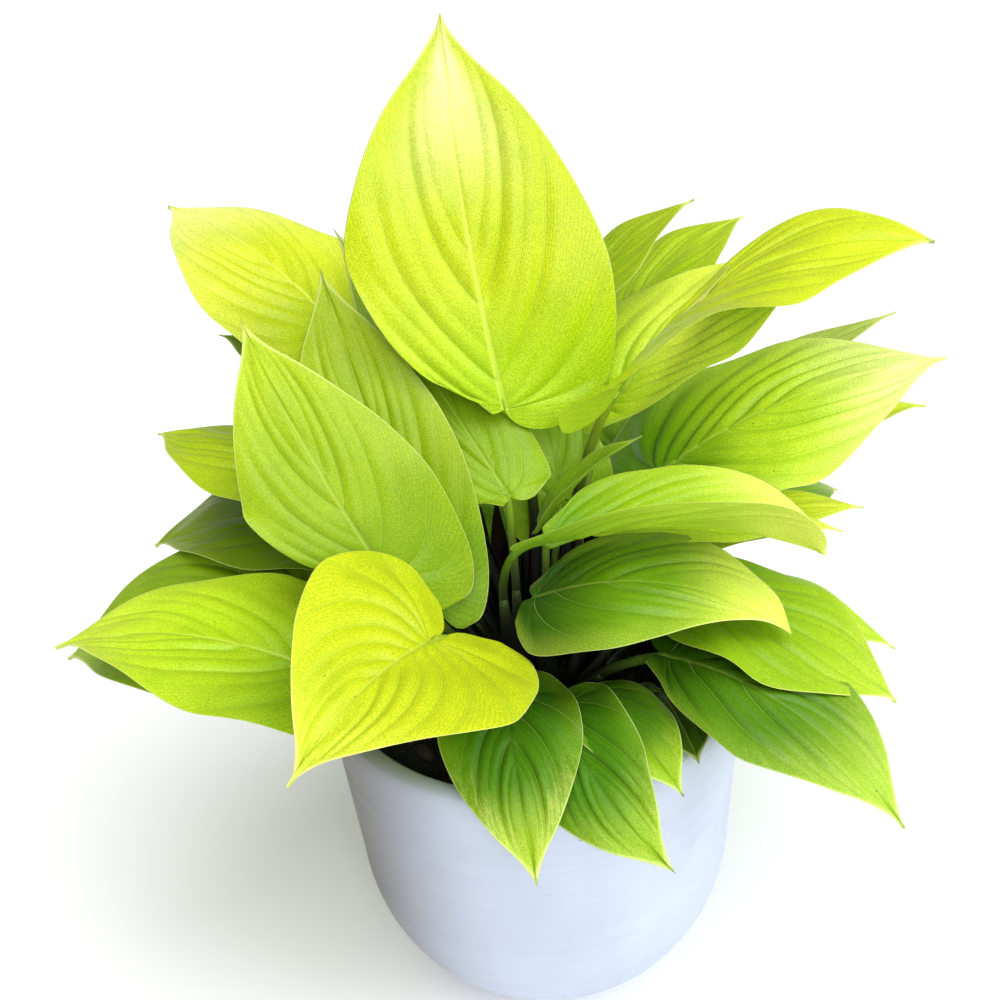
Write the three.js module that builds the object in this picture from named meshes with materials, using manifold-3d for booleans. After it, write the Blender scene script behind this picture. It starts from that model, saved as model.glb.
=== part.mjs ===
// Potted lemon lime homalomena: a white round-bottomed pot, dark potting
// mix and thirty-seven heart-shaped leaves, each on its own stalk.
// Millimetres, +Z up, the pot stands on z = 0 with its middle on the Z axis,
// and the side seen in the photograph faces -Y.
import * as THREE from 'three';
import { mergeVertices } from 'three/addons/utils/BufferGeometryUtils.js';
import Module from 'manifold-3d';

const wasm = await Module();
wasm.setup();
const { Manifold, Mesh: SolidMesh } = wasm;

// The pot
const potHeight = 140;
const rimRadius = 80;
const wallRadiusLow = 75;
const roundingHeight = 66;
const footRadius = 20;
const rimThickness = 8.5;
const potFloor = 18;
const potSides = 44;

// The potting mix
const soilTop = 131;
const soilMound = 4;
const soilGap = 0.3;
const holeBottom = 125;
const holeReach = 40;
const holeRadius = 3.2;

// The leaves
const bladeThickness = 0.8;
const stalkSides = 5;
const stalkRings = 6;

// Each row of the blade leaves the midrib at rowStart (share of the blade
// length from the stalk joint) and ends on the edge at rowEdge (share of the
// length forward, share of the half width sideways). Row 0 is the notch.
const rowStart = [0, 0, 0, 0.03, 0.12, 0.24, 0.38, 0.53, 0.69, 0.85, 1];
const rowEdge = [
  [-0.22, 0.40], [-0.19, 0.70], [-0.07, 0.91], [0.10, 1.00], [0.28, 1.00],
  [0.46, 0.92], [0.62, 0.76], [0.76, 0.53], [0.87, 0.28], [0.95, 0.10], [1, 0],
];
const wideColumns = [0, 0.36, 0.7, 1];
const narrowColumns = [0, 0.55, 1];

// What every leaf has unless its own entry says otherwise. roll turns the
// face about the line from joint to tip, to its own right; arch and sway
// bend the midrib up and to the right; fold lifts the left and right halves
// by so many degrees; twist turns the tip end; wave ripples the edge; lobes
// scales the rounded ends beside the notch, base narrows the blade there and
// slant slopes it off, each left and right; taper thins the pointed end;
// bend moves the middle of the stalk.
const usual = {
  roll: 0, arch: 9, sway: 0, fold: [5, 5], twist: 0, wave: 2,
  lobes: [1, 1], base: [1, 1], slant: [0, 0], taper: 0.15, bend: [0, 0, 0],
};

// root is where the stalk leaves the soil, joint is where it meets the
// blade, tip is the point of the blade; wide is its full width
const leaves = [
  { name: 'crown_leaf', tint: 0xc6dd38, root: [2, 14],
    joint: [-3,16,244.5], tip: [-14, 72, 368], wide: 96, roll: -8, arch: 10,
    sway: -1, fold: [8, 8], lobes: [0.1, 0.4], base: [0.25, 0.75],
    slant: [0.12, 0], taper: 0, bend: [10,30,0] },
  { name: 'inner_left_leaf', tint: 0xa9cc36, root: [-4, -6],
    joint: [-4, -3, 214], tip: [-64, 94, 288], wide: 36, roll: -30, arch: 2,
    fold: [5,-8], lobes: [0.45, 0.45], base: [0.1, 0.6], slant: [0.08,-0.16],
    taper: 0.4 },
  { name: 'left_rear_leaf', tint: 0xaed138, root: [-11, -2],
    joint: [-38, -10, 190], tip: [-66, 52, 286], wide: 60, roll: -27, arch: 8,
    sway: 1, lobes: [0.5, 0.9], base: [1, 0.75], taper: 0.45 },
  { name: 'left_front_leaf', tint: 0xb2d63a, root: [-12, -10],
    joint: [-49, -20, 196], tip: [-93, 26, 279], wide: 68, roll: -35, arch: 9,
    sway: -2, lobes: [0.6, 0.9], taper: 0.55, bend: [-6, -6, -10] },
  { name: 'heart_leaf', tint: 0xdbe630, root: [-10, -18],
    joint: [-34, -52, 190], tip: [-75, -121, 192], wide: 88, roll: -5, arch: 8,
    fold: [-2, 42], lobes: [1.2, 1.2], taper: 0.6 },
  { name: 'low_left_leaf', tint: 0xa4cf33, root: [-18, -13],
    joint: [-76, -36, 170], tip: [-176, -8, 170], wide: 76, roll: 0, arch: 11,
    base: [0.85, 1] },
  { name: 'low_left_under_leaf', tint: 0x8bb82c, root: [-20, -4],
    joint: [-84, 8, 168], tip: [-184, 20, 145], wide: 90, roll: -12, arch: 12 },
  { name: 'mid_left_leaf', tint: 0x7ba728, root: [-16, 4],
    joint: [-66, 44, 182], tip: [-150, 62, 172], wide: 76 },
  { name: 'small_left_leaf', tint: 0xb7d238, root: [-9, 6],
    joint: [-74, 38, 209], tip: [-146, 80, 212], wide: 70, arch: 6,
    base: [1, 0.6] },
  { name: 'high_left_leaf', tint: 0xb8d437, root: [-5, 16],
    joint: [-64, 66, 256], tip: [-134, 126, 293], wide: 78, arch: 8,
    lobes: [0.3, 0.3], base: [0.7, 0.8] },
  { name: 'small_high_left_leaf', tint: 0x6f9a2a, root: [-12, 13],
    joint: [-58, 66, 222], tip: [-117, 98, 246], wide: 44, arch: 5, wave: 1 },
  { name: 'high_right_inner_leaf', tint: 0x9cc338, root: [10, 29],
    joint: [20, 72, 246], tip: [77, 85, 290], wide: 46, arch: 6,
    bend: [0, 12, -10] },
  { name: 'high_right_outer_leaf', tint: 0x97bf35, root: [12, 22],
    joint: [45, 110, 228], tip: [104, 121, 270], wide: 62, arch: 6,
    base: [1, 0.5] },
  { name: 'high_right_broad_leaf', tint: 0xb0d13a, root: [15, 8],
    joint: [36, 46, 226], tip: [126, 62, 274], wide: 72, roll: -12, arch: 8,
    lobes: [0.6, 0.6], base: [0.8, 0.4], slant: [0, 0.1] },
  { name: 'high_right_long_leaf', tint: 0xb3d43a, root: [10, 14],
    joint: [39, 14, 247], tip: [152, 28, 285], wide: 76, roll: -34, twist: 56,
    arch: 18, lobes: [0.2, 1], base: [0.3, 1], taper: 0, bend: [2, 11, 0] },
  { name: 'right_broad_leaf', tint: 0xa6cf36, root: [20, 2],
    joint: [54, 32, 200], tip: [160, 35, 237], wide: 88, roll: 10, arch: 10,
    fold: [5, 0], wave: 2.5, base: [1, 0.5], slant: [0, 0.12] },
  { name: 'right_back_leaf', tint: 0x9db75a, root: [19, 15],
    joint: [64, 80, 194], tip: [160, 86, 236], wide: 40, arch: 2 },
  { name: 'right_under_leaf', tint: 0xa9c63c, root: [24, 8],
    joint: [68, 52, 190], tip: [170, 70, 200], wide: 56, arch: 8,
    lobes: [0.3, 0.5], base: [0.5, 0.5] },
  { name: 'folded_right_leaf', tint: 0xa2cc35, root: [-2, -14],
    joint: [26, -21, 211], tip: [104, -26, 194], wide: 68, arch: 3, fold: [22, 44],
    lobes: [0.2, 1.6], base: [0.6, 1], bend: [-22, -6, 22] },
  { name: 'right_low_under_leaf', tint: 0x7fae2c, root: [16, -5],
    joint: [52, 12, 187], tip: [119, 4, 184], wide: 38, arch: 7, lobes: [0.4, 0.4],
    base: [0.7, 0.7] },
  { name: 'right_yellow_tip_leaf', tint: 0xb9cf3a, root: [27, 1],
    joint: [66, 26, 176], tip: [130, 17, 186], wide: 38, arch: 4, wave: 1,
    lobes: [0.5, 0.4], bend: [0, 10, 6] },
  { name: 'centre_right_leaf', tint: 0x9ccb34, root: [5, -14],
    joint: [2, -25, 186], tip: [90, -38, 170], wide: 66, roll: 3, arch: 14,
    lobes: [0.1, 0.5], base: [0.5, 1], slant: [0.06, 0] },
  { name: 'low_right_leaf', tint: 0x8fc032, root: [20, -13],
    joint: [52, -6, 170], tip: [126, -38, 142], wide: 70, arch: 10,
    lobes: [0.3, 0.3], base: [0.6, 0.6], slant: [0, 0.08] },
  { name: 'low_right_rear_leaf', tint: 0x98c136, root: [27, -7],
    joint: [60, 12, 158], tip: [141, 0, 131], wide: 50, arch: 8 },
  { name: 'low_right_front_leaf', tint: 0x86b72f, root: [14, -20],
    joint: [48, -34, 162], tip: [115, -95, 130], wide: 70, sway: -5,
    lobes: [0.5, 0.3], base: [1, 0.45], slant: [0, 0.12], taper: 0.25 },
  { name: 'front_centre_leaf', tint: 0x93b632, root: [-3, -26],
    joint: [-12, -46, 158], tip: [-6, -106, 129], wide: 50, sway: 1.5,
    taper: 0.4 },
  { name: 'front_right_leaf', tint: 0x8ab42e, root: [4, -25],
    joint: [8, -46, 152], tip: [38, -108, 132], wide: 44, roll: 28, sway: 4,
    lobes: [0.5, 0.3], base: [0.75, 1] },
  { name: 'front_right_under_leaf', tint: 0x6f9f29, root: [10, -28],
    joint: [14, -40, 144.5], tip: [42, -88, 144], wide: 36, arch: 4, wave: 1,
    lobes: [0.4, 0.4], base: [0.7, 0.7] },
  { name: 'small_dark_leaf', tint: 0x3f6620, root: [21, -23],
    joint: [46, -27, 141], tip: [52, -71, 143.5], wide: 26, arch: 2, wave: 0 },
  { name: 'inner_dark_leaf', tint: 0x7fae30, root: [9, 6],
    joint: [16, 34, 186], tip: [9, 60, 230], wide: 46, arch: 5, wave: 1,
    bend: [-2, -2, 0] },
  { name: 'narrow_young_leaf', tint: 0x93c034, root: [6, 0],
    joint: [9, 9, 197], tip: [44, 0, 233], wide: 20, arch: 3, fold: [35, 30],
    wave: 0.5, lobes: [0.5, 0.5] },
  { name: 'back_left_leaf', tint: 0xa3c636, root: [-13, 21],
    joint: [-36, 78, 200], tip: [-86, 165, 186], wide: 74 },
  { name: 'back_high_leaf', tint: 0xafd038, root: [3, 24],
    joint: [-6, 84, 208], tip: [-10, 186, 198], wide: 72, arch: 10 },
  { name: 'back_right_leaf', tint: 0x9cc234, root: [20, 23],
    joint: [52, 94, 178], tip: [112, 158, 172], wide: 72, lobes: [0.5, 0.5] },
  { name: 'back_low_left_leaf', tint: 0x7fae2d, root: [-21, 12],
    joint: [-62, 66, 160], tip: [-128, 130, 140], wide: 70 },
  { name: 'back_low_leaf', tint: 0x84b22e, root: [-4, 28],
    joint: [-8, 72, 164], tip: [-14, 168, 142], wide: 72 },
  { name: 'back_low_right_leaf', tint: 0x86b530, root: [28, 16],
    joint: [72, 62, 160], tip: [150, 118, 136], wide: 60, lobes: [1, 0.4],
    base: [1, 0.6] },
].map((leaf) => ({ ...usual, ...leaf }));

const vec = (list) => new THREE.Vector3(list[0], list[1], list[2] ?? 0);
const degrees = (value) => value * Math.PI / 180;

// The frame of a blade: along the line from joint to tip, facing up
function bladeFrame(leaf) {
  const joint = vec(leaf.joint);
  const along = vec(leaf.tip).sub(joint);
  const length = along.length();
  along.normalize();
  const face = new THREE.Vector3(0, 0, 1);
  face.addScaledVector(along, -face.dot(along)).normalize();
  face.applyAxisAngle(along, degrees(leaf.roll));
  const right = new THREE.Vector3().crossVectors(along, face);
  return { joint, along, face, right, length };
}

// A point of the blade, a mm forward of the joint and b mm to the right
function bladePoint(leaf, frame, a, b, row) {
  const u = a / frame.length;
  const rise = u > 0 ? 4 * u * (1 - u) : 4 * u;
  const slope = u > 0 ? 4 * (1 - 2 * u) : 4;
  const spine = frame.joint.clone()
    .addScaledVector(frame.along, a)
    .addScaledVector(frame.face, leaf.arch * rise)
    .addScaledVector(frame.right, leaf.sway * rise);
  const forward = frame.along.clone()
    .addScaledVector(frame.face, leaf.arch * slope / frame.length)
    .addScaledVector(frame.right, leaf.sway * slope / frame.length)
    .normalize();
  const up = frame.face.clone();
  up.addScaledVector(forward, -up.dot(forward)).normalize();
  up.applyAxisAngle(forward, degrees(leaf.twist) * u);
  const side = new THREE.Vector3().crossVectors(forward, up);
  const reach = Math.abs(b) / (leaf.wide / 2);
  const fold = degrees(b > 0 ? leaf.fold[1] : leaf.fold[0]);
  const ripple = leaf.wave * reach * reach * Math.sin(row * 1.9 + (b > 0 ? 0.6 : 2.2));
  const droop = -0.06 * leaf.wide * reach * reach;
  return spine
    .addScaledVector(side, b * Math.cos(fold))
    .addScaledVector(up, Math.abs(b) * Math.sin(fold) + droop + ripple);
}

// The blade as one closed body: the same triangles on both faces
function bladeSolid(leaf) {
  const frame = bladeFrame(leaf);
  const half = leaf.wide / 2;
  const points = [];
  const faces = [];
  const rim = [];
  const known = new Map();
  const lastRow = rowStart.length - 1;
  const columns = leaf.wide > 60 ? wideColumns : narrowColumns;
  const lastColumn = columns.length - 1;
  const vertex = (side, row, column) => {
    let key = `${side},${row},${column}`;
    if (row === lastRow) {
      key = 'tip';
    } else if (column === 0) {
      key = `midrib${rowStart[row]}`;
    }
    if (!known.has(key)) {
      const [edgeAlong, edgeAcross] = rowEdge[row];
      const v = columns[column];
      const start = rowStart[row];
      const hand = side > 0 ? 1 : 0;
      const scale = edgeAlong < 0 ? leaf.lobes[hand] : 1;
      const share = leaf.base[hand] + (1 - leaf.base[hand]) * Math.min(row / 5, 1);
      const thin = 1 - leaf.taper * Math.max(row - 4, 0) / 6;
      const across = half * edgeAcross * share * thin * v ** (row === 0 ? 1.7 : 1);
      const slope = leaf.slant[hand] * Math.sin(Math.PI * Math.min(row / 5, 1));
      const end = edgeAlong * scale + slope;
      const along = frame.length * (start + (end - start) * v ** 1.3);
      known.set(key, points.length);
      points.push(bladePoint(leaf, frame, along, side * across, row));
    }
    return known.get(key);
  };
  const addFace = (a, b, c, flip) => {
    if (a !== b && b !== c && a !== c) {
      faces.push(flip ? [a, c, b] : [a, b, c]);
    }
  };
  for (const side of [1, -1]) {
    const flip = side < 0;
    for (let row = 0; row < lastRow; row += 1) {
      for (let column = 0; column < lastColumn; column += 1) {
        const a = vertex(side, row, column);
        const b = vertex(side, row + 1, column);
        const c = vertex(side, row + 1, column + 1);
        const d = vertex(side, row, column + 1);
        addFace(a, c, b, flip);
        addFace(a, d, c, flip);
      }
    }
    const outline = [];
    for (let column = 0; column <= lastColumn; column += 1) {
      outline.push(vertex(side, 0, column));
    }
    for (let row = 1; row <= lastRow; row += 1) {
      outline.push(vertex(side, row, lastColumn));
    }
    for (let k = 0; k + 1 < outline.length; k += 1) {
      rim.push(flip ? [outline[k + 1], outline[k]] : [outline[k], outline[k + 1]]);
    }
  }
  return closeSheet(points, faces, rim);
}

// Thickens a sheet of triangles to a closed body
function closeSheet(points, faces, rim) {
  const normals = points.map(() => new THREE.Vector3());
  for (const [a, b, c] of faces) {
    const ab = points[b].clone().sub(points[a]);
    const ac = points[c].clone().sub(points[a]);
    const normal = ab.cross(ac);
    for (const k of [a, b, c]) {
      normals[k].add(normal);
    }
  }
  const count = points.length;
  const corners = new Float32Array(count * 6);
  points.forEach((point, k) => {
    const step = normals[k].normalize().multiplyScalar(bladeThickness / 2);
    point.clone().add(step).toArray(corners, k * 3);
    point.clone().sub(step).toArray(corners, (count + k) * 3);
  });
  const triangles = [];
  for (const [a, b, c] of faces) {
    triangles.push(a, b, c);
    triangles.push(count + a, count + c, count + b);
  }
  for (const [a, b] of rim) {
    triangles.push(b, a, count + a);
    triangles.push(b, count + a, count + b);
  }
  return new Manifold(new SolidMesh({
    numProp: 3, vertProperties: corners, triVerts: new Uint32Array(triangles),
  }));
}

// The stalk as a chain of rings from the soil to the joint
function stalkSolid(leaf) {
  const joint = vec(leaf.joint);
  const foot = new THREE.Vector3(leaf.root[0], leaf.root[1], soilTop + soilMound + 2);
  const middle = foot.clone().lerp(joint, 0.3);
  middle.z = foot.z + (joint.z - foot.z) * 0.72;
  middle.add(vec(leaf.bend));
  const base = foot.clone();
  base.z = holeBottom;
  const thick = leaf.wide > 60 ? 2.2 : 1.8;
  const path = [base];
  for (let k = 0; k < stalkRings; k += 1) {
    const t = k / (stalkRings - 1);
    const p = foot.clone().multiplyScalar((1 - t) ** 2);
    p.addScaledVector(middle, 2 * t * (1 - t));
    p.addScaledVector(joint, t * t);
    path.push(p);
  }
  const corners = [];
  const triangles = [];
  let across = new THREE.Vector3(1, 0, 0);
  path.forEach((point, ring) => {
    const before = path[Math.max(ring - 1, 0)];
    const after = path[Math.min(ring + 1, path.length - 1)];
    const heading = ring < 2
      ? new THREE.Vector3(0, 0, 1)
      : after.clone().sub(before).normalize();
    across = across.clone().addScaledVector(heading, -across.dot(heading)).normalize();
    const other = new THREE.Vector3().crossVectors(heading, across);
    const radius = thick * (1 - 0.3 * ring / (path.length - 1));
    for (let k = 0; k < stalkSides; k += 1) {
      const turn = 2 * Math.PI * k / stalkSides;
      const corner = point.clone()
        .addScaledVector(across, radius * Math.cos(turn))
        .addScaledVector(other, radius * Math.sin(turn));
      corners.push(corner.x, corner.y, corner.z);
    }
  });
  const last = (path.length - 1) * stalkSides;
  for (let ring = 0; ring + 1 < path.length; ring += 1) {
    for (let k = 0; k < stalkSides; k += 1) {
      const a = ring * stalkSides + k;
      const b = ring * stalkSides + (k + 1) % stalkSides;
      triangles.push(a, b, b + stalkSides, a, b + stalkSides, a + stalkSides);
    }
  }
  for (let k = 1; k + 1 < stalkSides; k += 1) {
    triangles.push(0, k + 1, k);
    triangles.push(last, last + k, last + k + 1);
  }
  return new Manifold(new SolidMesh({
    numProp: 3, vertProperties: new Float32Array(corners),
    triVerts: new Uint32Array(triangles),
  }));
}

// A closed geometry as a solid that can be cut and joined
function solidOf(geometry) {
  geometry.deleteAttribute('normal');
  geometry.deleteAttribute('uv');
  const merged = mergeVertices(geometry);
  const triangles = [];
  for (let k = 0; k < merged.index.count; k += 3) {
    const [a, b, c] = merged.index.array.slice(k, k + 3);
    if (a !== b && b !== c && a !== c) {
      triangles.push(a, b, c);
    }
  }
  return new Manifold(new SolidMesh({
    numProp: 3, vertProperties: new Float32Array(merged.attributes.position.array),
    triVerts: new Uint32Array(triangles),
  }));
}

// A turned body about the Z axis from a profile of [radius, height] pairs
function turned(profile) {
  const points = profile.map(([radius, height]) => new THREE.Vector2(radius, height));
  return solidOf(new THREE.LatheGeometry(points, potSides).rotateX(Math.PI / 2));
}

function potSolid() {
  const outside = [[0, 0], [footRadius, 0]];
  for (let k = 1; k <= 6; k += 1) {
    const turn = degrees(15 * k);
    const radius = footRadius + 3 + (wallRadiusLow - footRadius - 3) * Math.sin(turn);
    outside.push([radius, 0.6 + roundingHeight * (1 - Math.cos(turn))]);
  }
  const lip = [
    [rimRadius, potHeight - 4], [rimRadius - 1.2, potHeight - 1.2],
    [rimRadius - 4, potHeight], [rimRadius - 7, potHeight - 0.8],
    [rimRadius - rimThickness, potHeight - 3.5],
  ];
  const inside = [
    [wallRadiusLow - rimThickness, roundingHeight],
    [wallRadiusLow - 16, potFloor + 14], [wallRadiusLow - 34, potFloor], [0, potFloor],
  ];
  return turned([...outside, ...lip, ...inside]);
}

function soilSolid() {
  const wall = (z) => {
    const low = wallRadiusLow - rimThickness;
    const high = rimRadius - rimThickness;
    return low + (high - low) * (z - roundingHeight) / (potHeight - 3.5 - roundingHeight);
  };
  const radius = wall(soilTop) - soilGap;
  const profile = [
    [0, potFloor], [wallRadiusLow - 34.4, potFloor],
    [wallRadiusLow - 16.4, potFloor + 14], [wallRadiusLow - rimThickness - soilGap, roundingHeight],
    [radius, soilTop], [radius - 8, soilTop + 1.5], [radius - 24, soilTop + 2.6],
    [radius - 42, soilTop + soilMound], [0, soilTop + soilMound],
  ];
  let soil = turned(profile);
  for (const leaf of leaves) {
    const hole = new THREE.CylinderGeometry(holeRadius, holeRadius, holeReach, 6);
    hole.rotateX(Math.PI / 2);
    hole.translate(leaf.root[0], leaf.root[1], holeBottom + holeReach / 2);
    soil = soil.subtract(solidOf(hole));
  }
  return soil;
}

// A named mesh from a solid
function addMesh(group, name, solid, tint, roughness) {
  const mesh = solid.getMesh();
  const stride = mesh.numProp;
  const positions = new Float32Array(mesh.numVert * 3);
  for (let k = 0; k < mesh.numVert; k += 1) {
    for (let axis = 0; axis < 3; axis += 1) {
      positions[k * 3 + axis] = mesh.vertProperties[k * stride + axis];
    }
  }
  const geometry = new THREE.BufferGeometry();
  geometry.setAttribute('position', new THREE.BufferAttribute(positions, 3));
  geometry.setIndex(new THREE.BufferAttribute(new Uint32Array(mesh.triVerts), 1));
  geometry.computeVertexNormals();
  const material = new THREE.MeshStandardMaterial({ color: tint, roughness });
  const node = new THREE.Mesh(geometry, material);
  node.name = name;
  group.add(node);
}

const plant = new THREE.Group();
plant.name = 'potted_homalomena';
addMesh(plant, 'pot', potSolid(), 0xe9ebf2, 0.6);
addMesh(plant, 'soil', soilSolid(), 0x2b231d, 0.95);
for (const leaf of leaves) {
  const solid = bladeSolid(leaf).add(stalkSolid(leaf));
  addMesh(plant, leaf.name, solid, leaf.tint, 0.4);
}

export default plant;
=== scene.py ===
# Potted lemon lime homalomena: a white round-bottomed pot, dark potting mix
# and heart-shaped leaves. Lengths in the settings are millimetres.
import math
import random

import bmesh
import bpy
import numpy as np
from mathutils import Matrix, Vector


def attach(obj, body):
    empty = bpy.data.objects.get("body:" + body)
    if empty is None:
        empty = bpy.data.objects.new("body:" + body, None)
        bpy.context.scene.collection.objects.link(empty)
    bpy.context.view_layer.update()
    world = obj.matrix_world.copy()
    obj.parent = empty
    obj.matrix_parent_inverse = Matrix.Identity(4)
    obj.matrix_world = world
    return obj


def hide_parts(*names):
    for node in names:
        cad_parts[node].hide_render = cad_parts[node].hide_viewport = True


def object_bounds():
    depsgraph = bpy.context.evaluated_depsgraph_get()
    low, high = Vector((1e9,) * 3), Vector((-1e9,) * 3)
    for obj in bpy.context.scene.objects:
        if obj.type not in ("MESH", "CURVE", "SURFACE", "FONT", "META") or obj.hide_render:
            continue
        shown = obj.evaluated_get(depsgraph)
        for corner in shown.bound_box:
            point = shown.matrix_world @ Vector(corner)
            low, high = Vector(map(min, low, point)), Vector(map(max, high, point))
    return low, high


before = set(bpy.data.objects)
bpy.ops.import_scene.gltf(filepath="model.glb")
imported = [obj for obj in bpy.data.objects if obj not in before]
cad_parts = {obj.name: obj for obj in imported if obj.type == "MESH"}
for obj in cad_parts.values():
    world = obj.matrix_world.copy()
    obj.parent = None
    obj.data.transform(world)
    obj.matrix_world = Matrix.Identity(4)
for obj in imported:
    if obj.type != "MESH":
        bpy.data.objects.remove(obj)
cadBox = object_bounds()
mm = 0.001
cadLow, cadHigh = (np.array(corner) / mm for corner in cadBox)
print("frame loaded,", len(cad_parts), "nodes")


# Camera

cameraView = {
    "aim": (-7.5, 0.0, 212.0),
    "distance": 466.7,
    "elevation": 29.3,      # degrees above the horizon
    "roll": -4.85,
    "focalPixels": 1300,
    "picturePixels": 1000,
    "sensorWidth": 36,
    "nearest": 10,          # nothing nearer than this is drawn
}


def addCamera(view):
    elevation = math.radians(view["elevation"])
    roll = math.radians(view["roll"])
    forward = Vector((0, math.cos(elevation), -math.sin(elevation)))
    right = Vector((1, 0, 0))
    up = Vector((0, math.sin(elevation), math.cos(elevation)))
    turnedRight = right * math.cos(roll) + up * math.sin(roll)
    turnedUp = up * math.cos(roll) - right * math.sin(roll)
    eye = (Vector(view["aim"]) - forward * view["distance"]) * mm
    data = bpy.data.cameras.new("camera")
    data.sensor_width = view["sensorWidth"]
    data.lens = view["sensorWidth"] * view["focalPixels"] / view["picturePixels"]
    data.clip_start = view["nearest"] * mm
    camera = bpy.data.objects.new("camera", data)
    axes = Matrix((turnedRight, turnedUp, -forward)).transposed().to_4x4()
    camera.matrix_world = Matrix.Translation(eye) @ axes
    bpy.context.scene.collection.objects.link(camera)
    bpy.context.scene.camera = camera


addCamera(cameraView)


# Small helpers for meshes and node trees

def linearColour(code):
    # "rrggbb" as a linear colour
    parts = [int(code[k:k + 2], 16) / 255 for k in (0, 2, 4)]
    return tuple(p / 12.92 if p <= 0.04045 else ((p + 0.055) / 1.055) ** 2.4 for p in parts)


def paint(code):
    # the same with the fourth value that the sockets of shader nodes take
    return (*linearColour(code), 1.0)


def blendedTints(low, high, share):
    # one colour for each share, from low to high
    low, high = np.array(low), np.array(high)
    return low + (high - low) * share[..., None]


def unit(vectors):
    return vectors / np.maximum(np.linalg.norm(vectors, axis=-1, keepdims=True), 1e-9)


def turnAbout(vectors, axis, angle):
    cosine = np.cos(angle)[..., None]
    sine = np.sin(angle)[..., None]
    along = np.sum(axis * vectors, axis=-1, keepdims=True)
    return vectors * cosine + np.cross(axis, vectors) * sine + axis * along * (1 - cosine)


def smoothStep(low, high, value):
    t = np.clip((value - low) / (high - low), 0, 1)
    return t * t * (3 - 2 * t)


def throughKnots(knots, place):
    # a smooth curve through values that stand at places 0, 1, 2 and so on
    knots = np.asarray(knots, float)
    ends = np.concatenate(([2 * knots[0] - knots[1]], knots, [2 * knots[-1] - knots[-2]]))
    k = np.clip(np.floor(place).astype(int), 0, len(knots) - 2)
    t = place - k
    a, b, c, d = ends[k], ends[k + 1], ends[k + 2], ends[k + 3]
    return 0.5 * (2 * b + (c - a) * t + (2 * a - 5 * b + 4 * c - d) * t ** 2
                  + (3 * b - 3 * c + d - a) * t ** 3)


def ringFaces(rings, sides, start=0, turned=False):
    # quads between rings of points, where point number start is the first
    faces = []
    for ring in range(rings - 1):
        for side in range(sides):
            a = start + ring * sides + side
            b = start + ring * sides + (side + 1) % sides
            faces.append((a, a + sides, b + sides, b) if turned else (a, b, b + sides, a + sides))
    return faces


def makeObject(name, points, faces, materials, faceMaterials=None):
    mesh = bpy.data.meshes.new(name)
    mesh.from_pydata([tuple(p) for p in np.asarray(points) * mm], [], faces)
    for material in materials:
        mesh.materials.append(material)
    if faceMaterials is not None:
        mesh.polygons.foreach_set("material_index", faceMaterials)
    mesh.polygons.foreach_set("use_smooth", [True] * len(mesh.polygons))
    piece = bpy.data.objects.new(name, mesh)
    bpy.context.scene.collection.objects.link(piece)
    return piece


def addValues(piece, name, kind, values):
    layer = piece.data.attributes.new(name, kind, "POINT")
    field = {"FLOAT": "value", "FLOAT_VECTOR": "vector", "FLOAT_COLOR": "color"}[kind]
    layer.data.foreach_set(field, np.asarray(values, np.float32).ravel())


def addTints(piece, tints):
    addValues(piece, "leafTint", "FLOAT_COLOR", np.column_stack((tints, np.ones(len(tints)))))


def weld(piece, distance=0.002):
    # joins points that fall together, as all rows do at the stalk and the tip
    shape = bmesh.new()
    shape.from_mesh(piece.data)
    bmesh.ops.remove_doubles(shape, verts=shape.verts, dist=distance * mm)
    shape.to_mesh(piece.data)
    shape.free()


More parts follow.
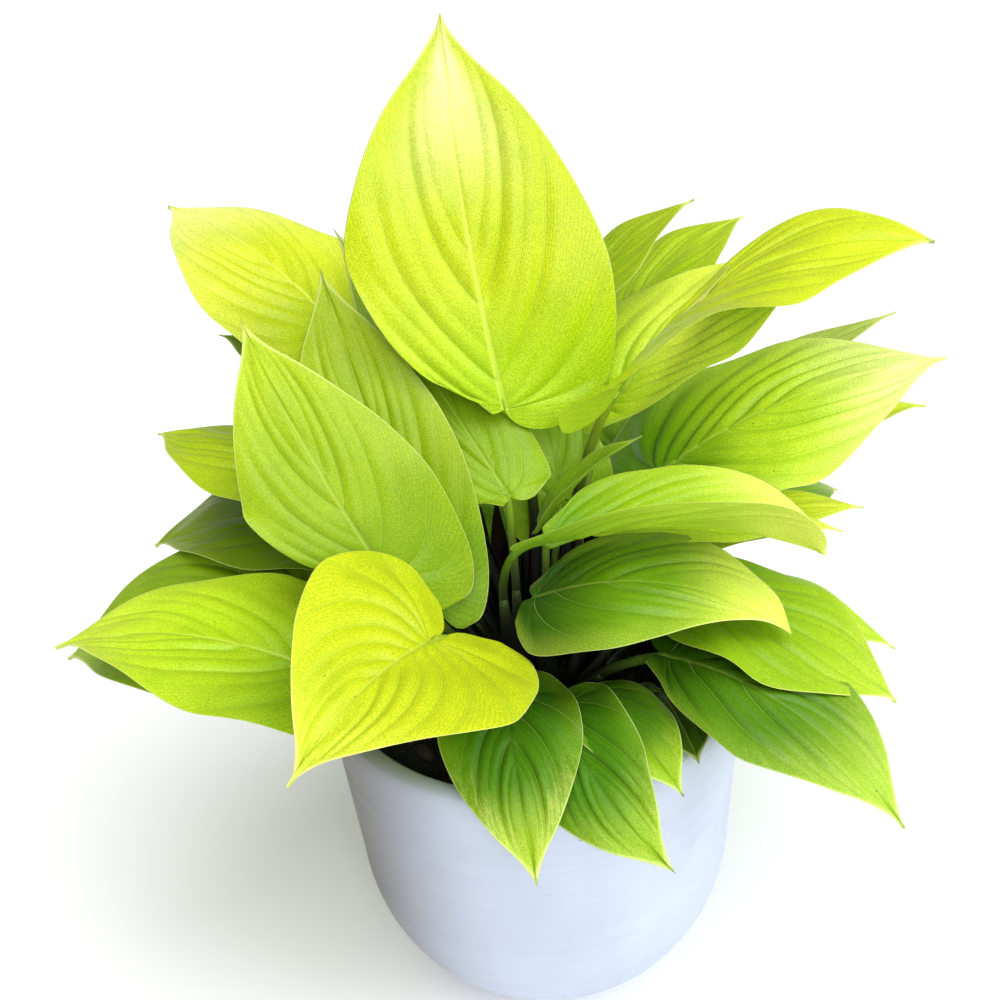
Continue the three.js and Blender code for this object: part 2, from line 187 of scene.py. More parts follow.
class NodeMaker:
    # makes shader nodes and wires them in one call
    def __init__(self, material):
        material.use_nodes = True
        self.tree = material.node_tree
        self.tree.nodes.clear()

    def put(self, socket, value):
        if isinstance(value, bpy.types.NodeSocket):
            self.tree.links.new(value, socket)
        else:
            socket.default_value = value

    def add(self, kind, inputs=None, **settings):
        node = self.tree.nodes.new(kind)
        for key, value in settings.items():
            setattr(node, key, value)
        for key, value in (inputs or {}).items():
            self.put(node.inputs[key], value)
        return node

    def math(self, operation, a, b=0.0, c=0.0):
        node = self.add("ShaderNodeMath", {0: a, 1: b, 2: c}, operation=operation)
        return node.outputs[0]

    def times(self, a, b):
        return self.math("MULTIPLY", a, b)

    def mask(self, value, low, high, start=0.0, end=1.0):
        # goes from start to end while the value goes from low to high
        node = self.add("ShaderNodeMapRange", {
            "Value": value, "From Min": low, "From Max": high, "To Min": start, "To Max": end,
        }, interpolation_type="SMOOTHSTEP")
        return node.outputs["Result"]

    def mix(self, share, a, b, blend="MIX"):
        # sockets 6 and 7 and output 2 are the ones for colours
        node = self.add("ShaderNodeMix", {0: share, 6: a, 7: b}, data_type="RGBA", blend_type=blend)
        return node.outputs[2]

    def attribute(self, name, output="Vector"):
        node = self.add("ShaderNodeAttribute", attribute_name=name)
        return node.outputs[output]

    def split(self, vector):
        return self.add("ShaderNodeSeparateXYZ", {0: vector}).outputs[:3]

    def join(self, x, y, z=0.0):
        return self.add("ShaderNodeCombineXYZ", {0: x, 1: y, 2: z}).outputs[0]

    def place(self, scale=(1, 1, 1)):
        here = self.add("ShaderNodeTexCoord").outputs["Object"]
        return self.add("ShaderNodeMapping", {"Vector": here, "Scale": scale}).outputs[0]

    def noise(self, vector, scale, detail=3.0, roughness=0.55):
        node = self.add("ShaderNodeTexNoise", {
            "Vector": vector, "Scale": scale, "Detail": detail, "Roughness": roughness,
        })
        return node.outputs["Fac"]

    def bump(self, height, size):
        inputs = {"Height": height, "Strength": size[0], "Distance": size[1]}
        return self.add("ShaderNodeBump", inputs).outputs[0]

    def finish(self, **inputs):
        shader = self.add("ShaderNodeBsdfPrincipled")
        for key, value in inputs.items():
            self.put(shader.inputs[key.replace("_", " ")], value)
        output = self.add("ShaderNodeOutputMaterial")
        self.tree.links.new(shader.outputs[0], output.inputs[0])


# Leaf finish

leafFinish = {
    "veinColour": "dcea6c",
    "rimColour": "eef29a",
    "underColour": "aed038",
    "fleckColour": "e6e67c",
    "speckColour": "4a3c14",
    "darker": (0.50, 0.66, 0.30, 1),     # times the leaf's own colour
    "lighter": (1.30, 1.18, 1.7, 1),
    "patchesPerMetre": 55.0,
    "patchShare": 0.40,
    "flecksAcross": 3.4,     # from one main vein to the next
    "flecksAlong": 7.0,
    "grainSize": 0.55,       # of the finest light and dark grain
    "grainDark": 0.58,
    "grainLight": 0.42,
    "fineLines": 9.0,        # fine parallel lines from one main vein to the next
    "fineLineShare": 0.34,
    "netAlong": 130.0,       # meshes of the fine net along the blade
    "netAcross": 14.0,       # and from one main vein to the next
    "netShare": 0.40,
    "veinShade": 0.50,       # beside a main vein
    "veinLine": 0.55,        # the pale line on it
    "ribShade": 0.8,
    "ribLine": 0.85,
    "rimShare": 0.75,
    "specksPerMetre": 130.0,
    "underShare": 0.30,
    "underRoughness": 0.16,  # more than on the upper face
    "roughness": 0.36,
    "gloss": 0.28,
    "bump": (0.35, 0.00022),     # strength, and height in metres
}


def leafMaterial(finish):
    material = bpy.data.materials.new("leafBlade")
    maker = NodeMaker(material)
    tint = maker.attribute("leafTint", "Color")
    line, _, forward = maker.split(maker.attribute("leafPlace"))
    vein, rib, rim = maker.split(maker.attribute("leafMarks"))
    under, mottle, pale = maker.split(maker.attribute("leafKind"))
    here = maker.place()

    # soft darker patches
    dark = maker.mix(1.0, tint, finish["darker"], "MULTIPLY")
    light = maker.mix(1.0, tint, finish["lighter"], "MULTIPLY")
    cloudy = maker.noise(here, finish["patchesPerMetre"], 2.0)
    colour = maker.mix(maker.mask(cloudy, 0.30, 0.62, finish["patchShare"], 0.0), tint, dark)

    # flecks that lie along the veins
    fibre = maker.join(maker.times(line, finish["flecksAcross"]),
                       maker.times(forward, finish["flecksAlong"]))
    streak = maker.noise(fibre, 1.2, 4.0, 0.6)
    fleck = maker.times(maker.mask(streak, 0.44, 0.56), mottle)
    colour = maker.mix(fleck, colour, paint(finish["fleckColour"]))

    # the finest grain, fine parallel lines and a net between them
    grid = maker.join(maker.times(line, finish["netAcross"]),
                      maker.times(forward, finish["netAlong"]))
    net = maker.add("ShaderNodeTexVoronoi", {"Vector": grid, "Scale": 1.0, "Randomness": 0.95},
                    voronoi_dimensions="2D", feature="DISTANCE_TO_EDGE").outputs["Distance"]
    grain = maker.noise(here, 1000 / finish["grainSize"], 1.0, 0.6)
    wobble = maker.math("MULTIPLY_ADD", grain, 0.06, line)
    fine = maker.math("SINE", maker.times(wobble, 2 * math.pi * finish["fineLines"]))
    colour = maker.mix(maker.mask(grain, 0.38, 0.56, finish["grainDark"], 0.0), colour, dark)
    colour = maker.mix(maker.mask(grain, 0.50, 0.68, 0.0, finish["grainLight"]), colour, light)
    colour = maker.mix(maker.mask(fine, -1.0, 0.6, finish["fineLineShare"], 0.0), colour, dark)
    colour = maker.mix(maker.mask(net, 0.0, 0.16, finish["netShare"], 0.0), colour, light)

    # main veins, midrib and the pale margin
    veinColour = maker.mix(0.5, tint, paint(finish["veinColour"]))
    colour = maker.mix(maker.mask(vein, 0.15, 1.1, finish["veinShade"], 0.0), colour, dark)
    colour = maker.mix(maker.mask(vein, 0.05, 0.34, finish["veinLine"], 0.0), colour, veinColour)
    ribShade = maker.mask(rib, 0.3, 1.6, finish["ribShade"], 0.0)
    ribShade = maker.times(ribShade, maker.math("SUBTRACT", 1.0, pale))
    colour = maker.mix(ribShade, colour, dark)
    ribLine = maker.times(maker.mask(rib, 0.45, 1.0, finish["ribLine"], 0.0), pale)
    colour = maker.mix(ribLine, colour, veinColour)
    rimColour = maker.mix(0.6, tint, paint(finish["rimColour"]))
    colour = maker.mix(maker.mask(rim, 0.10, 0.42, finish["rimShare"], 0.0), colour, rimColour)

    # a few old brown specks
    spots = maker.add("ShaderNodeTexVoronoi", {"Vector": here, "Scale": finish["specksPerMetre"]})
    speck = maker.mask(spots.outputs["Distance"], 0.028, 0.045, 0.75, 0.0)
    colour = maker.mix(speck, colour, paint(finish["speckColour"]))

    # the underside is paler and duller: partly its own paler colour, partly painted light standing
    # in for light shining through the leaf
    underside = maker.mix(finish["underShare"], colour, paint(finish["underColour"]))
    colour = maker.mix(under, colour, underside)

    height = maker.math("MULTIPLY_ADD", grain, 1.3, maker.times(fine, 0.12))
    normal = maker.bump(height, finish["bump"])
    patchy = maker.mask(grain, 0.3, 0.7, finish["roughness"] - 0.04, finish["roughness"] + 0.08)
    roughness = maker.math("MULTIPLY_ADD", under, finish["underRoughness"], patchy)
    maker.finish(Base_Color=colour, Roughness=roughness, Normal=normal,
                 Specular_IOR_Level=finish["gloss"])
    return material


stalkFinish = {
    "darker": (0.62, 0.74, 0.5, 1),      # streaks, times the stalk's own colour
    "streakShare": 0.6,
    "streaksPerMetre": (900, 900, 60),
    "roughness": 0.45,
    "gloss": 0.25,
    "bump": (0.35, 0.0003),
}


def stalkMaterial(finish):
    material = bpy.data.materials.new("leafStalk")
    maker = NodeMaker(material)
    tint = maker.attribute("leafTint", "Color")
    streaks = maker.noise(maker.place(finish["streaksPerMetre"]), 1.0, 3.0)
    darker = maker.mix(1.0, tint, finish["darker"], "MULTIPLY")
    colour = maker.mix(maker.mask(streaks, 0.35, 0.7, 0.0, finish["streakShare"]), tint, darker)
    normal = maker.bump(streaks, finish["bump"])
    maker.finish(Base_Color=colour, Roughness=finish["roughness"], Normal=normal,
                 Specular_IOR_Level=finish["gloss"])
    return material


# Leaf shape

# A row of the blade leaves the midrib at start and reaches the edge at
# edgeAlong (shares of the blade's length) and edgeAcross (of its half width).
bladeRows = {
    "start": (0, 0, 0, 0.03, 0.12, 0.24, 0.38, 0.53, 0.69, 0.85, 1),
    "edgeAlong": (-0.22, -0.19, -0.07, 0.10, 0.28, 0.46, 0.62, 0.76, 0.87, 0.95, 1),
    "edgeAcross": (0.40, 0.70, 0.91, 1, 1, 0.92, 0.76, 0.53, 0.25, 0.07, 0),
    "widest": 4,
    "slanted": 5,            # the rows up to this one slide with slant
}
lastRow = len(bladeRows["start"]) - 1

bladeDetail = {
    "usualWidth": 80,        # of the blade that the relief's sizes are for
    "thickness": 0.5,
    "edgeRounding": 18,      # higher is sharper
    "droop": 0.06,           # of the edges, as a share of the width
    "midribRounding": 2.2,   # softens the fold at the midrib
    "midribSink": 1.5,
    "waveStep": 1.9,         # of the wavy edge, radians a row
    "waveStart": (2.2, 0.6),
    "mainVeins": (0.9, 1.8, 2.7, 3.5, 4.3, 5.2, 6.1),   # rows where they leave the midrib
    "veinStrengths": (0.35, 0.8, 0.25, 0.9, 0.3, 1.0, 0.3),
    "evenStrength": 0.9,     # what a leaf with even veins has instead
    "crowdedRows": 8,        # veins fade where rows lie closer than this
    "sweep": 3.0,            # how far forward the veins run, in rows
    "rowCount": 61,
    "lobeRows": 14,          # extra rows that round off the lobes
    "lobeEnd": 0.7,
    "nearVein": (-0.11, -0.05, 0.05, 0.11),
    "clearOfVein": 0.14,
    "columns": (0, 0.012, 0.03, 0.06, 0.11, 0.18, 0.27, 0.37, 0.48, 0.59, 0.70, 0.80,
                0.88, 0.94, 0.975, 0.992, 1),
    "quiltDepth": 1.4,
    "quiltWidth": 0.26,      # in rows, as the crease's
    "creaseDepth": 0.38,
    "creaseWidth": 0.055,
    "grooveDepth": 0.45,
    "grooveWidth": 0.9,
    "ribHeight": 1.1,
    "ribWidth": 1.25,
    "ribLineWidth": 1.1,
    "waviness": 0.8,
    "wavesAlong": 11,
    "wavesAcross": 5.5,
}

stalkDetail = {
    "thick": 2.2,
    "thin": 1.8,
    "narrowBlade": 60,       # blades up to this width have thin stalks
    "taper": 0.3,
    "footSwelling": 0.3,
    "footShare": 0.2,
    "rings": 26,
    "sides": 14,
    "middleAcross": 0.3,     # where the stalk's curve has its middle corner
    "middleUp": 0.72,
    "underBlade": 9.0,       # how far it runs on under the midrib
    "underDepth": 1.3,
    "jointDepth": 1.6,
    "tail": (0.86, 0.66, 0.46, 0.22),    # how it thins out there
    "footZ": 137.0,
    "baseZ": 126.0,
    "sheathReach": 0.46,     # share of the stalk that its sheath clasps
    "sheathFlare": 2.3,      # width at the foot as a multiple of the stalk's
    "sheathEdge": 0.5,
    "sheathColumns": 13,
    "plantMiddle": (-0.3, 4.0),
    "sheathOpen": (60, 110),     # degrees to each side that it clasps, top and foot
    "tint": "7ea034",
    # the stalks' near-black foot is partly their own dark colour and partly painted shade, for the
    # deep shadow among them
    "footShadeTint": "12140a",
    "tintFrom": 0.3,         # shares of the stalk between which the foot's tint goes over
    "tintTo": 0.95,
}

# root is the foot of the stalk, joint and tip are the ends of the midrib. Pairs
# are for the left and the right half, looking from the stalk to the tip.
usualLeaf = dict(
    roll=0,                  # degrees about the midrib
    twist=0,                 # more of it towards the tip
    arch=9, sway=0,          # how far the midrib bows up and to the right
    fold=(5, 5),             # degrees that each half rises
    furl=0,                  # how much more of that near the stalk than at the tip
    wave=2,                  # height of the wavy edge
    lobes=(1, 1),            # their length, a share of the usual one
    base=(1, 1), baseRows=5,     # width at the stalk, and the row where it is full again
    slant=(0, 0),            # how far the side edges slide forward
    taper=0.15, point=1,     # narrows the front half; a point below 1 is blunter
    bend=(0, 0, 0),          # moves the stalk's middle
    veins=1.0, evenVeins=0.0,
    mottle=0.08,
    pale=0.6,                # how pale the midrib is
    dry=0.0,                 # brown at the very tip
    tipSpread=2.0,           # below 1 the tip's colour stays near the midrib
    slot="lime_leaf",
)

# colours are those near the stalk, in the middle and at the tip
leaves = [
    # the crown's pale tip colour, spread wide by tipSpread, is mostly a painted highlight: the broad
    # sheen on its upper part
    dict(name="crown", root=(2, 14), joint=(-3, 16, 240.5), tip=(-14, 72, 368), wide=98,
         roll=-8, arch=10, sway=-3.5, fold=(8, 8), lobes=(0.03, 0.35), base=(0.25, 0.85),
         slant=(0.13, 0.05), taper=(0.22, 0.2), bend=(10, 30, 0), slot="chartreuse_leaf",
         pale=1.0, tipSpread=0.5, colours=("bcdc1c", "c6d416", "fcfca8")),
    dict(name="inner_left", root=(-4, -6), joint=(-4.5, -3, 216), tip=(-64, 94, 288), wide=40,
         roll=-30, arch=2, fold=(5, -8), lobes=(0.1, 0.2), base=(0.5, 0.95),
         slant=(0.05, 0.02), taper=0.4, pale=0.5, colours=("92b410", "8aac0c", "90a810")),
    dict(name="left_rear", root=(-11, -2), joint=(-38, -10, 190), tip=(-66, 52, 286), wide=60,
         roll=-27, arch=8, sway=1, lobes=(0.5, 0.9), base=(1, 0.75), taper=(0, 0.45),
         veins=0.75, colours=("76a00c", "9cb610", "b0c818")),
    dict(name="left_front", root=(-12, -10), joint=(-49, -20, 196), tip=(-93, 26, 279), wide=68,
         roll=-35, arch=9, sway=-2, lobes=(0.1, 0.9), base=(0.5, 0.9), slant=(0.2, -0.04),
         taper=(0.5, 0.6), bend=(-6, -6, -10), veins=0.75, pale=0.5,
         colours=("86a80e", "9ab60e", "bcd21c")),
    dict(name="heart", root=(-10, -18), joint=(-34, -52, 190), tip=(-75, -121, 192), wide=88,
         roll=-5, arch=8, fold=(-2, 42), wave=0.3, lobes=(1.25, 1), base=(0.9, 0.97),
         slant=(0, -0.05), taper=(0.75, 0.8), mottle=0.0, pale=0.5, evenVeins=0.8,
         slot="yellow_leaf", colours=("c4ce18", "cad41c", "d8e230")),
    dict(name="low_left", root=(-18, -13), joint=(-76, -36, 170), tip=(-176, -8, 170), wide=76,
         arch=11, fold=(5, 14), base=(0.85, 1), taper=(0.7, 0.15),
         pale=0.7, colours=("8eb212", "c4e41c", "d8ec40")),
    dict(name="low_left_under", root=(-20, -4), joint=(-84, 8, 168), tip=(-184, 20, 145), wide=90,
         roll=-12, arch=12, fold=(5, 8), lobes=(1, 0.5), base=(1, 0.55), slant=(0, 0.12),
         pale=0.7, dry=1.0, slot="fresh_green_leaf", colours=("7ea012", "86a814", "98b81c")),
    dict(name="mid_left", root=(-16, 4), joint=(-66, 44, 182), tip=(-153, 64, 168), wide=76,
         taper=(0.15, -0.8), point=(1, 0.6), slot="deep_green_leaf",
         colours=("5c7806", "607c04", "94ac10")),
    dict(name="small_left", root=(-9, 6), joint=(-74, 38, 209), tip=(-146, 80, 212), wide=70,
         arch=6, fold=(5, -13), base=(1, 0.6), dry=1.0, colours=("a4c010", "b2c812", "c4d820")),
    # high_left's pale tip and pale midrib are partly its own colour and partly a painted sheen along
    # the midrib
    dict(name="high_left", root=(-5, 16), joint=(-64, 66, 256), tip=(-134, 126, 293), wide=80,
         arch=8, lobes=(0.6, 0.3), veins=1.5, pale=1.0, evenVeins=0.6, dry=1.0,
         colours=("b8cc14", "dce428", "f6f68c")),
    dict(name="small_high_left", root=(-12, 13), joint=(-58, 66, 222), tip=(-117, 98, 246), wide=44,
         arch=5, wave=1, slot="deep_green_leaf", colours=("708c10", "78960e", "84a012")),
    dict(name="high_right_inner", root=(10, 29), joint=(20, 72, 246), tip=(77, 85, 290), wide=46,
         arch=6, bend=(0, 12, -10), dry=1.0, slot="fresh_green_leaf",
         colours=("98b80c", "a4c00e", "b4ca16")),
    dict(name="high_right_outer", root=(12, 22), joint=(45, 110, 228), tip=(104, 121, 270), wide=62,
         arch=6, base=(1, 0.5), taper=(0.15, -0.6), slot="fresh_green_leaf",
         colours=("a8ca10", "b4d214", "c4dc20")),
    # high_right_broad's near-white tints are partly painted light, lifted to stand for light
    # reflecting off it where it faces away from the lamps
    dict(name="high_right_broad", root=(15, 8), joint=(36, 46, 226), tip=(126, 62, 274), wide=80,
         arch=8, fold=(20, 5), lobes=(0.6, 0.6), base=(1.25, 0.4), slant=(-0.1, 0.1),
         taper=(1.1, 0.15), veins=1.3, pale=0.8, evenVeins=0.6,
         colours=("d4f428", "f2fe54", "f4fe58")),
    dict(name="high_right_long", root=(10, 14), joint=(39, 14, 247), tip=(152, 28, 285), wide=80,
         roll=-36, twist=60, arch=18, lobes=(0.2, 0.9), base=(-0.5, 1.5), baseRows=7, slant=(0.3, 0),
         taper=0, point=(0.75, 1), bend=(2, 11, 0), veins=0.8, pale=0.3, dry=1.0,
         colours=("c4dc18", "cedf18", "dce820")),
    # right_broad's pale tip colour is partly its own paler tip and partly a painted sheen
    dict(name="right_broad", root=(20, 2), joint=(54, 32, 200), tip=(163, 35, 236.5), wide=88,
         roll=10, arch=10, fold=(5, -4), wave=2.5, base=(1, 0.5), slant=(0, 0.12), veins=1.9,
         pale=0.8, evenVeins=0.4, colours=("7cae12", "d6f034", "f8fca0")),
    dict(name="right_back", root=(19, 15), joint=(64, 80, 194), tip=(160, 86, 236), wide=40,
         arch=2, slot="fresh_green_leaf", colours=("a4bc40", "acc44c", "bccc60")),
    dict(name="right_under", root=(24, 8), joint=(68, 52, 190), tip=(170, 70, 200), wide=56,
         arch=8, lobes=(0.3, 0.5), base=(0.5, 0.5), colours=("a4c420", "b8d020", "c8d828")),
    dict(name="folded_right", root=(-2, -14), joint=(9, -24, 207.5), tip=(104, -26, 194), wide=54,
         arch=9, fold=(38, 56), furl=-0.35, wave=0.5, lobes=(0.1, 0.6), base=(0.65, 1),
         slant=(0.14, 0.02), taper=(-0.3, -0.5), point=0.5, bend=(-22, -6, 22),
         pale=0.2, colours=("7aac10", "b0d020", "f8f870")),
    # right_low_under's bright yellow tints are painted light: they lift a leaf that lies in the
    # shadow of others
    dict(name="right_low_under", root=(16, -5), joint=(38, 13.5, 186.5), tip=(119, 4, 184), wide=38,
         arch=7, lobes=(0.7, 1), base=(0.7, 1), slot="deep_green_leaf",
         colours=("e0fa38", "e8fc40", "ecfc48")),
    dict(name="right_yellow_tip", root=(27, 1), joint=(66, 26, 176), tip=(130, 17, 186), wide=38,
         arch=4, wave=1, lobes=(0.5, 0.4), bend=(0, 10, 6), colours=("bcd81c", "f2fc38", "fafe50")),
    dict(name="centre_right", root=(5, -14), joint=(2, -25, 186), tip=(90, -38, 170), wide=66,
         roll=3, arch=14, fold=(7, -2), wave=1, lobes=(0.1, 0.3), base=(0.5, 0.85),
         slant=(0.12, 0.02), taper=(0.05, 0.9), point=(0.28, 1), veins=1.1, pale=0.4,
         slot="fresh_green_leaf", colours=("325c04", "74a00e", "f4fc60")),
    dict(name="low_right", root=(20, -13), joint=(52, -6, 170), tip=(128, -42, 139), wide=70,
         arch=10, lobes=(0.3, 0.3), base=(0.6, 0.6), slant=(0, 0.08), taper=(-0.3, -0.3),
         pale=0.3, slot="fresh_green_leaf", colours=("68980c", "92b812", "b8d424")),
    dict(name="low_right_rear", root=(27, -7), joint=(60, 12, 158), tip=(141, 0, 131), wide=50,
         arch=8, slot="fresh_green_leaf", colours=("90bc14", "a0cc18", "c0e028")),
    dict(name="low_right_front", root=(14, -20), joint=(48, -34, 162), tip=(115, -95, 130), wide=70,
         sway=-5, wave=1, lobes=(0.5, 0.3), base=(1, 0.45), slant=(0, 0.12), taper=0.25,
         veins=1.3, mottle=0.25, pale=0.3, slot="deep_green_leaf",
         colours=("325c05", "58880c", "bcdc40")),
    dict(name="front_centre", root=(-3, -26), joint=(-11, -46, 158), tip=(-6, -106, 129), wide=49,
         sway=1.5, taper=0.4, veins=1.5, mottle=0.6, pale=0.1, slot="fresh_green_leaf",
         colours=("2c5603", "4e820a", "b0ca22")),
    dict(name="front_right", root=(4, -25), joint=(8, -46, 152), tip=(38, -108, 132), wide=44,
         roll=28, sway=4, lobes=(0.5, 0.3), base=(0.75, 1), veins=1.5, mottle=0.3, pale=0.1,
         slot="fresh_green_leaf", colours=("305c03", "4e860a", "a8cc20")),
    dict(name="front_right_under", root=(10, -28), joint=(18, -38, 151), tip=(44, -88, 145.5),
         wide=38, arch=5, wave=1, lobes=(0.4, 0.4), base=(0.7, 0.7), mottle=0.2,
         pale=0.1, dry=1.0, slot="deep_green_leaf", colours=("345c08", "4e8010", "a8cc1c")),
    dict(name="small_dark", root=(21, -23), joint=(46, -27, 141), tip=(52, -71, 143.5), wide=26,
         arch=2, wave=0, mottle=0.0, slot="dark_leaf", colours=("31500e", "365610", "4a6a14")),
    dict(name="inner_dark", root=(9, 6), joint=(16, 34, 186), tip=(9, 60, 230), wide=46, arch=5,
         wave=1, bend=(-2, -2, 0), pale=0.3, slot="deep_green_leaf",
         colours=("8cb40e", "96bc10", "a0c414")),
    dict(name="narrow_young", root=(6, 0), joint=(9, 9, 197), tip=(44, 0, 233), wide=20, arch=3,
         fold=(35, 30), wave=0.5, lobes=(0.5, 0.5), slot="fresh_green_leaf",
         colours=("8cb816", "94be18", "a4c61e")),
    dict(name="back_left", root=(-13, 21), joint=(-36, 78, 200), tip=(-86, 165, 186), wide=74,
         colours=("9cc01a", "a6c81c", "b8d024")),
    dict(name="back_high", root=(3, 24), joint=(-6, 84, 208), tip=(-10, 186, 198), wide=72, arch=10,
         colours=("a4c81c", "b0d01e", "c0d826")),
    dict(name="back_right", root=(20, 23), joint=(52, 94, 178), tip=(112, 158, 172), wide=72,
         lobes=(0.5, 0.5), slot="fresh_green_leaf", colours=("90b818", "9cc01a", "acca22")),
    dict(name="back_low_left", root=(-21, 12), joint=(-62, 66, 160), tip=(-128, 130, 140), wide=70,
         slot="deep_green_leaf", colours=("74a016", "7ca816", "90b41c")),
    dict(name="back_low", root=(-4, 28), joint=(-8, 72, 164), tip=(-14, 168, 142), wide=72,
         slot="deep_green_leaf", colours=("78a416", "82ac16", "94b81c")),
    dict(name="back_low_right", root=(28, 16), joint=(72, 62, 160), tip=(150, 118, 136), wide=60,
         lobes=(1, 0.4), base=(1, 0.6), slot="deep_green_leaf",
         colours=("7aa816", "84b018", "96bc1e")),
]


def bladeFrame(leaf):
    # the joint, the directions along, up and right of the blade, and its length
    joint = np.array(leaf["joint"], float)
    chord = np.array(leaf["tip"], float) - joint
    length = np.linalg.norm(chord)
    along = chord / length
    face = np.array((0.0, 0.0, 1.0))
    face = unit(face - along * face.dot(along))
    face = turnAbout(face, along, np.array(math.radians(leaf["roll"])))
    return joint, along, face, np.cross(along, face), length


def bladePoint(leaf, a, b, row, detail=bladeDetail):
    # a forward of the stalk along the midrib, b to the right of it
    joint, along, face, right, length = bladeFrame(leaf)
    u = a / length
    rise = np.where(u > 0, 4 * u * (1 - u), 4 * u)[..., None]
    slope = np.where(u > 0, 4 * (1 - 2 * u), 4.0)[..., None]
    lean = face * leaf["arch"] + right * leaf["sway"]
    spine = joint + along * a[..., None] + lean * rise
    forward = unit(along + lean * slope / length)
    up = unit(face - forward * np.sum(face * forward, axis=-1, keepdims=True))
    up = turnAbout(up, forward, math.radians(leaf["twist"]) * u)
    side = np.cross(forward, up)
    outward = np.abs(b) / (leaf["wide"] / 2)
    fold = np.radians(np.where(b > 0, leaf["fold"][1], leaf["fold"][0]))
    fold = fold * (1 + leaf["furl"] * (0.5 - u))
    waveStart = np.where(b > 0, detail["waveStart"][1], detail["waveStart"][0])
    ripple = leaf["wave"] * outward ** 2 * np.sin(row * detail["waveStep"] + waveStart)
    droop = -detail["droop"] * leaf["wide"] * outward ** 2
    soft = np.sqrt(b ** 2 + detail["midribRounding"]) - detail["midribSink"]
    lift = np.maximum(soft, 0) * np.sin(fold) + droop + ripple
    return spine + side * (b * np.cos(fold))[..., None] + up * lift[..., None]


def edgeCurves(leaf, hand):
    # where each row ends, forward and sideways, on the left (0) or right (1)
    rows = np.arange(lastRow + 1)
    widest = bladeRows["widest"]
    edgeAlong = np.array(bladeRows["edgeAlong"], float)
    edgeAcross = np.array(bladeRows["edgeAcross"], float)
    point = np.broadcast_to(leaf["point"], 2)[hand]
    edgeAcross = np.where(rows > widest, edgeAcross ** point, edgeAcross)
    lobe = np.where(edgeAlong < 0, leaf["lobes"][hand], 1)
    baseShare = leaf["base"][hand]
    share = baseShare + (1 - baseShare) * np.minimum(rows / leaf["baseRows"], 1)
    taper = np.broadcast_to(leaf["taper"], 2)[hand]
    thin = 1 - taper * np.maximum(rows - widest, 0) / (lastRow - widest)
    slide = leaf["slant"][hand] * np.sin(np.pi * np.minimum(rows / bladeRows["slanted"], 1))
    return edgeAlong * lobe + slide, leaf["wide"] / 2 * edgeAcross * share * thin


def veinRows(detail):
    # the grid's rows follow the veins, closer together beside each main vein
    rows = set(np.linspace(0, lastRow, detail["rowCount"]).round(4))
    rows |= set((detail["lobeEnd"] * np.linspace(0, 1, detail["lobeRows"]) ** 2).round(4))
    for vein in detail["mainVeins"]:
        rows = {r for r in rows if abs(r - vein) > detail["clearOfVein"]}
        rows |= {round(vein + step, 4) for step in (*detail["nearVein"], 0)}
    return np.array(sorted(rows))


def bladeSide(leaf, detail, hand, vein, column):
    # the smooth middle surface of one half, its normals and places on it
    length = bladeFrame(leaf)[4]
    hump = np.sin(np.pi * (vein / lastRow) ** 0.8)
    row = np.clip(vein + detail["sweep"] * column ** 1.15 * hump, 0, lastRow)
    endAlong, endAcross = edgeCurves(leaf, hand)
    start = np.maximum(throughKnots(bladeRows["start"], row), 0)
    # the lobes' inner edge leaves the stalk backwards and ends sideways
    lobe = smoothStep(0, 1, 1 - row)
    share = (1 - lobe) * column ** 1.3 + lobe * np.sin(np.pi / 2 * column)
    along = length * (start + (throughKnots(endAlong, row) - start) * share)
    halfWidth = np.maximum(throughKnots(endAcross, row), 0)
    across = halfWidth * column ** (1 + lobe)
    sign = 1 if hand else -1
    step = 0.4      # to two points beside this one, for the normal
    here = bladePoint(leaf, along, sign * across, row)
    ahead = bladePoint(leaf, along + step, sign * across, row)
    beside = bladePoint(leaf, along, sign * (across + step), row)
    normal = unit(np.cross(beside - here, ahead - here) * sign)
    return here, normal, along / length, across, halfWidth - across


def veinDistance(leaf, detail, vein, points):
    # millimetres to the nearest main vein (more for a faint one), a count that
    # is whole on each vein, the distance in rows and the vein's strength
    veins = np.array(detail["mainVeins"])
    spacing = veins[-1] - veins[-2]
    beyond = np.arange(veins[-1] + spacing, lastRow + spacing, spacing)
    knots = np.concatenate(([0.0], veins, beyond))
    line = np.interp(vein, knots, np.arange(len(knots)))
    perRow = np.linalg.norm(np.gradient(points, axis=0), axis=-1)
    perRow = perRow / np.maximum(np.gradient(vein, axis=0), 1e-6)
    away = np.abs(vein[..., None] - veins)
    strength = np.array(detail["veinStrengths"])[np.argmin(away, axis=-1)]
    strength = strength + (detail["evenStrength"] - strength) * leaf["evenVeins"]
    nearest = np.min(away, axis=-1)
    distance = nearest * np.maximum(perRow, 1.0) / strength
    return distance, line, nearest, strength * np.clip(perRow / detail["crowdedRows"], 0, 1)


